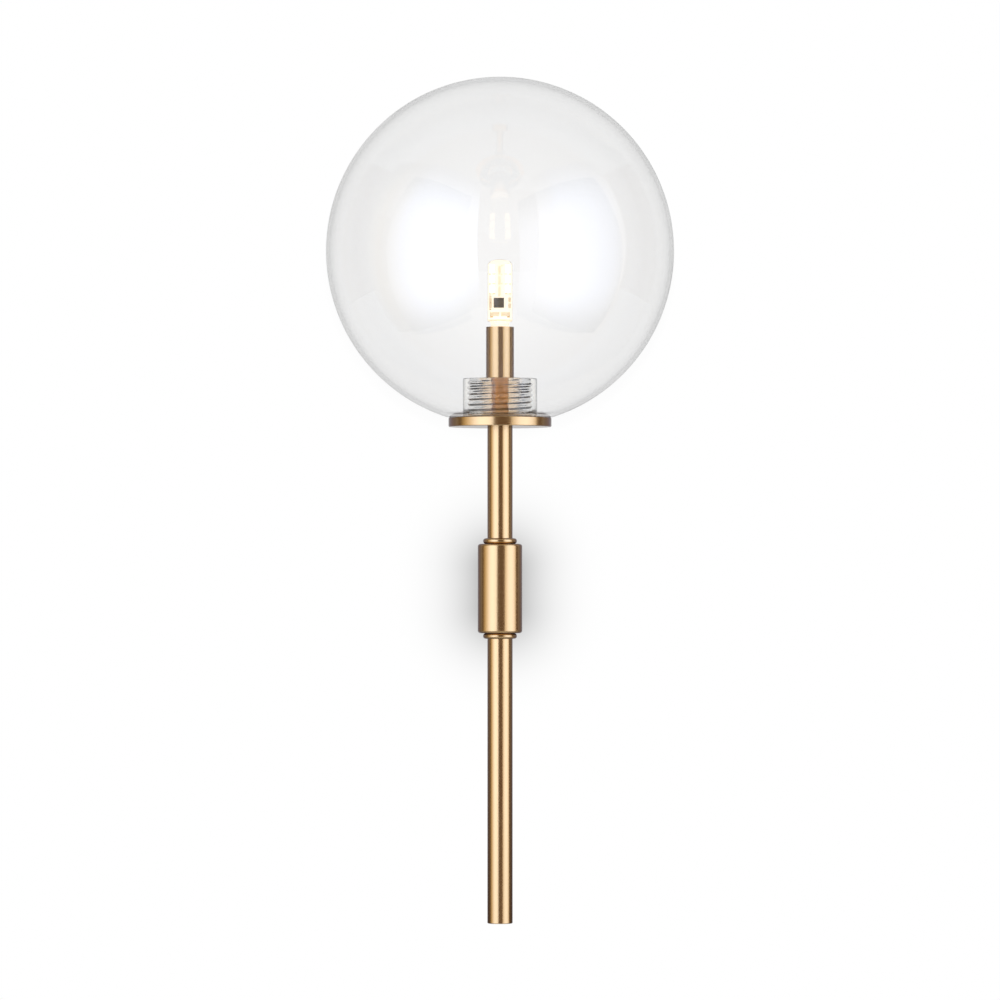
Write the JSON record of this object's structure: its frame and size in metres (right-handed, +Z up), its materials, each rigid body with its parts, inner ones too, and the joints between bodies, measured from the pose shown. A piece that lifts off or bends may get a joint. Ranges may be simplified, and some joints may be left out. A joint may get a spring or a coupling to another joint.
{
  "type": "globe wall sconce",
  "caption": "Wall light with a clear glass globe that screws on to a slim brass stem, which a sleeve and a short arm hold off the wall.",
  "frame": {"origin": "middle of the wall strap's back face, level with the middle of the sleeve", "axes": "+Z up along the stem, +Y into the wall, +X to the right as seen from the room"},
  "size_m": [0.2, 0.212, 0.4861],
  "materials": {
    "satin_brass": "satin, lacquered",
    "turned_brass": "plain turned",
    "zinc_steel": "zinc plated",
    "clear_glass": "clear, blown and polished",
    "clear_polycarbonate": "clear, moulded",
    "clear_silicone": "clear, soft",
    "steatite_ceramic": "matt, unglazed",
    "nickel_spring": "nickel plated",
    "brown_insulation": "matt insulation",
    "blue_insulation": "matt insulation",
    "earth_insulation": "matt insulation, green with a yellow stripe",
    "white_nylon": "moulded",
    "cream_ceramic": "matt",
    "capsule_silicone": "clear, glossy",
    "white_circuit_board": "white solder mask",
    "warm_led": "emissive, warm white",
    "black_epoxy": "moulded",
    "component_ceramic": "fired, tinned ends"
  },
  "bodies": {
    "wall_lamp": {"wall_strap": "zinc_steel", "canopy": "satin_brass", "canopy_screws": "satin_brass", "arm_tube": "satin_brass", "arm_nipple": "zinc_steel", "arm_nut": "zinc_steel", "earth_tags": "zinc_steel", "earth_screw": "zinc_steel", "earth_lead": "earth_insulation", "terminal_block": "white_nylon", "terminal_clamps": "turned_brass", "terminal_screws": "zinc_steel", "terminal_stud_nut": "zinc_steel", "sleeve": "satin_brass", "upper_bead": "satin_brass", "lower_bead": "satin_brass", "hub_core": "turned_brass", "rod_grub_screws": "zinc_steel", "upper_rod": "satin_brass", "lower_rod": "satin_brass", "lower_rod_plug": "satin_brass", "upper_rod_insert": "turned_brass", "collar": "satin_brass", "neck_bush": "clear_polycarbonate", "lamp_nipple": "turned_brass", "lamp_tube": "satin_brass", "lamp_ring_nut": "turned_brass", "lampholder_body": "steatite_ceramic", "lampholder_contacts": "nickel_spring", "holder_snap_ring": "zinc_steel", "live_lead": "brown_insulation", "neutral_lead": "blue_insulation"},
    "gasket_ring": {"globe_gasket": "clear_silicone"},
    "glass_globe": {"globe": "clear_glass"},
    "lamp_capsule": {"capsule_base": "cream_ceramic", "capsule_pins": "nickel_spring", "capsule_envelope": "capsule_silicone", "capsule_board": "white_circuit_board", "capsule_leds": "warm_led", "capsule_chip": "black_epoxy", "capsule_components": "component_ceramic"}
  },
  "joints": [
    {"name": "globe_lift", "type": "slide", "parent": "wall_lamp", "child": "gasket_ring", "axis": [0, 0, 1], "range_m": [0, 0.021]},
    {"name": "globe_turn", "type": "hinge", "parent": "gasket_ring", "child": "glass_globe", "pos_m": [0, -0.112, 0.0984], "axis": [0, 0, 1], "range_deg": [0, 2520]},
    {"name": "capsule_pull", "type": "slide", "parent": "wall_lamp", "child": "lamp_capsule", "axis": [0, 0, 1], "range_m": [0, 0.016]}
  ],
  "couplings": [
    {"joint": "globe_lift", "follows": "globe_turn", "m_per_rad": 0.000477}
  ]
}
